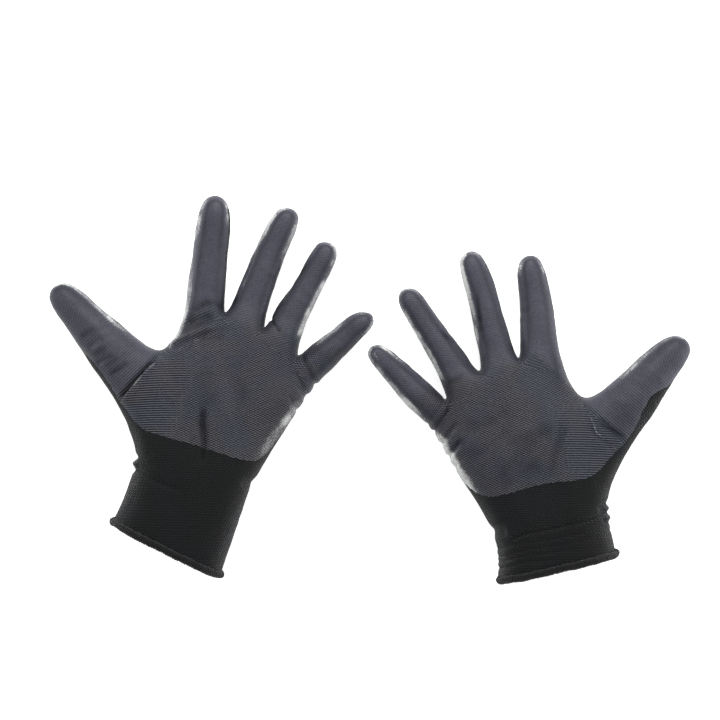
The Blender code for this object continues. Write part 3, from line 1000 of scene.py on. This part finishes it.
def hem_finish():
    """Overlocking thread: fine plies that slant along each wrap."""
    finish = Finish("hem_yarn", roughness=0.85, specular=0.25, sheen=0.2)
    s, t = finish.flat()
    slant = finish.scaled(t, 0.6, s)
    ply = finish.wave(slant, 0.55)
    fuzz = finish.noise(0.6, detail=3)
    lint = finish.between(finish.noise(1.1, detail=2), 0.66, 0.8)
    # painted shade: the thread is drawn darker between its plies; the pale flecks are lint
    shade = finish.mix(ply, (0.004, 0.0045, 0.005), (0.0105, 0.011, 0.011))
    finish.colour(finish.mix(finish.math("MULTIPLY", lint, 0.4), shade, (0.07, 0.07, 0.065)))
    finish.bump(finish.scaled(fuzz, 0.5, ply), 0.25, 0.8)
    return finish.material


def coating_finish():
    """Slate-grey dip: the knit shows through it as a fine mesh, with painted shade in its grooves.
    Its sides are pale, partly from its thin edge and partly as a painted reflection, and painted
    highlights and painted shade lie along its folds.
    """
    finish = Finish("palm_coating", roughness=0.55, specular=0.3, sheen=0.1)
    s, t = finish.flat()
    courses = finish.wave(t, COURSE)
    mesh = finish.crossed(finish.scaled(t, 0.33, s), t)
    swap = finish.math("SUBTRACT", courses, mesh)
    knit = finish.scaled(swap, finish.attribute("courses"), mesh)
    shows = finish.attribute("shows")
    shown = finish.scaled(finish.math("SUBTRACT", knit, 0.66), shows, 0.5)
    pores = finish.noise(0.45, detail=2)
    patches = finish.between(finish.noise(26, detail=2), 0.38, 0.62)
    over_palm = finish.mix(patches, (0.114, 0.109, 0.128), (0.092, 0.102, 0.142))
    light = finish.mix(finish.between(shows, 0.2, 0.8), (0.135, 0.138, 0.184), over_palm)
    grain = finish.math("SUBTRACT", finish.noise(1.0, detail=3, roughness=0.7), 0.5)
    # painted shade: where the knit's grooves show through, the dip is drawn towards near black; the
    # grain is the dip's own mottle
    mottled = finish.scaled(grain, 0.75, shown)
    body = finish.mix(mottled, (0.004, 0.004, 0.005), light)
    # painted shade darkens the dip towards near black; pale rims (partly its thin edge, partly a
    # painted reflection) and painted highlights lighten it to pale grey
    tone = finish.attribute("tone")
    painted_shade_and_darker_thumb = finish.math("MULTIPLY", tone, -1, clamp=True)
    body = finish.mix(painted_shade_and_darker_thumb, body, (0.007, 0.008, 0.014))
    edge = finish.scaled(grain, 1.4, tone)
    finish.colour(finish.mix(finish.between(edge, 0.18, 1.15), body, (0.66, 0.67, 0.66)))
    finish.bump(finish.scaled(pores, 0.2, shown), 0.4, 0.8)
    rough = finish.scaled(pores, 0.16, 0.46)
    finish.link(rough, finish.shader.inputs["Roughness"])
    return finish.material


# --- Gloves ---


def dress(piece, finishes, slot, node):
    piece.data.materials.append(finishes[slot])
    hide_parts(node)


def bend(piece):
    """Bakes the piece's placement into its points."""
    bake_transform(piece)


def prepared(cage, glove, level):
    surface = Surface(cage, level)
    sculpt(surface, glove)
    surface.cover = dip_cover(surface, glove)
    surface.tone = paint_rims_light_and_shade(surface, glove)
    surface.courses, surface.shows = knit_marks(surface, glove)
    settle_flats(surface, glove)
    return surface


def make_glove(name, glove, finishes):
    cage = glove_cage(glove)
    surfaces = {}
    for key, level in LEVELS.items():
        surfaces[key] = prepared(cage, glove, level)
    palm = surfaces["mid"]

    cuff = knit_piece(name + "_cuff_knit", glove, palm, "cuff")
    dress(cuff, finishes, "cuff_knit", name + "_cuff")
    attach(cuff, name + "_cuff")
    hem = hem_piece(name + "_overlocked_hem", glove, palm)
    dress(hem, finishes, "hem_yarn", name + "_hem")
    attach(hem, name + "_cuff")

    knit = knit_piece(name + "_palm_knit", glove, palm, "palm")
    dress(knit, finishes, "liner_knit", name + "_palm_liner")
    bend(knit)
    dip = coating_piece(name + "_palm_dip", glove, surfaces["fine"], "palm")
    dress(dip, finishes, "palm_coating", name + "_palm_coating")
    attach(dip, name + "_palm")

    for digit in DIGITS:
        under = surfaces["mid" if digit == "thumb" else "coarse"]
        for part, body in (("lower", "base"), ("upper", "tip")):
            child = f"{name}_{digit}_{body}"
            knit = knit_piece(f"{name}_{digit}_{part}_knit", glove, under, f"{digit}_{part}")
            dress(knit, finishes, "liner_knit", child + "_liner")
            bend(knit)
            over = surfaces["fine" if (digit, part) == ("thumb", "lower") else "mid"]
            dip = coating_piece(f"{name}_{digit}_{part}_dip", glove, over, f"{digit}_{part}")
            dress(dip, finishes, "palm_coating", child + "_coating")
            bend(dip)


# --- Stage ---

VIEW_HEIGHT = 1.6  # camera above the floor, in metres
VIEW_MIDDLE = (-0.0069, 0.0198)
VIEW_WIDTH = 0.4752  # what the camera takes in across, at the gloves
GLOVE_LEVEL = 0.015
FLOOR_SIZE = 6.0
LIGHTS = {  # place and width in metres, watts; each faces the middle of the gloves
    "key": ((0.1, 0.9, 1.0), 0.4, 14),
    "left": ((-1.2, 0.1, 0.35), 0.5, 4),
    "right": ((1.2, -0.2, 0.35), 0.5, 7),
}


def make_camera():
    data = bpy.data.cameras.new("camera")
    data.sensor_width = 36
    data.lens = data.sensor_width * (VIEW_HEIGHT - GLOVE_LEVEL) / VIEW_WIDTH
    camera = add_object("camera", data)
    camera.location = (*VIEW_MIDDLE, VIEW_HEIGHT)
    bpy.context.scene.camera = camera


def make_floor():
    bpy.ops.mesh.primitive_plane_add(size=FLOOR_SIZE, location=(0, 0, -0.0005))
    floor = bpy.context.object
    floor.name = "floor"
    finish = Finish("floor", roughness=0.9, specular=0.1)
    finish.shader.inputs["Base Color"].default_value = (0.9, 0.9, 0.9, 1)
    finish.shader.inputs["Emission Color"].default_value = (1, 1, 1, 1)
    finish.shader.inputs["Emission Strength"].default_value = 0.85
    floor.data.materials.append(finish.material)


def make_light(name, location, size, energy):
    data = bpy.data.lights.new(name, "AREA")
    data.size = size
    data.energy = energy
    light = add_object(name, data)
    light.location = location
    light.rotation_euler = (-Vector(location)).to_track_quat("-Z", "Y").to_euler()


def make_world():
    world = bpy.data.worlds.new("studio")
    world.use_nodes = True
    background = world.node_tree.nodes["Background"]
    background.inputs["Color"].default_value = (1, 1, 1, 1)
    background.inputs["Strength"].default_value = 0.35
    bpy.context.scene.world = world
    bpy.context.scene.view_settings.view_transform = "Standard"


def main():
    make_camera()
    make_world()
    make_floor()
    for name, light in LIGHTS.items():
        make_light(name, *light)
    finishes = {
        "liner_knit": knit_finish("liner_knit", WALE, COURSE),
        "cuff_knit": knit_finish("cuff_knit", RIB, RIB_COURSE),
        "palm_coating": coating_finish(),
        "hem_yarn": hem_finish(),
    }
    for name, glove in GLOVES.items():
        make_glove(name, glove, finishes)


main()
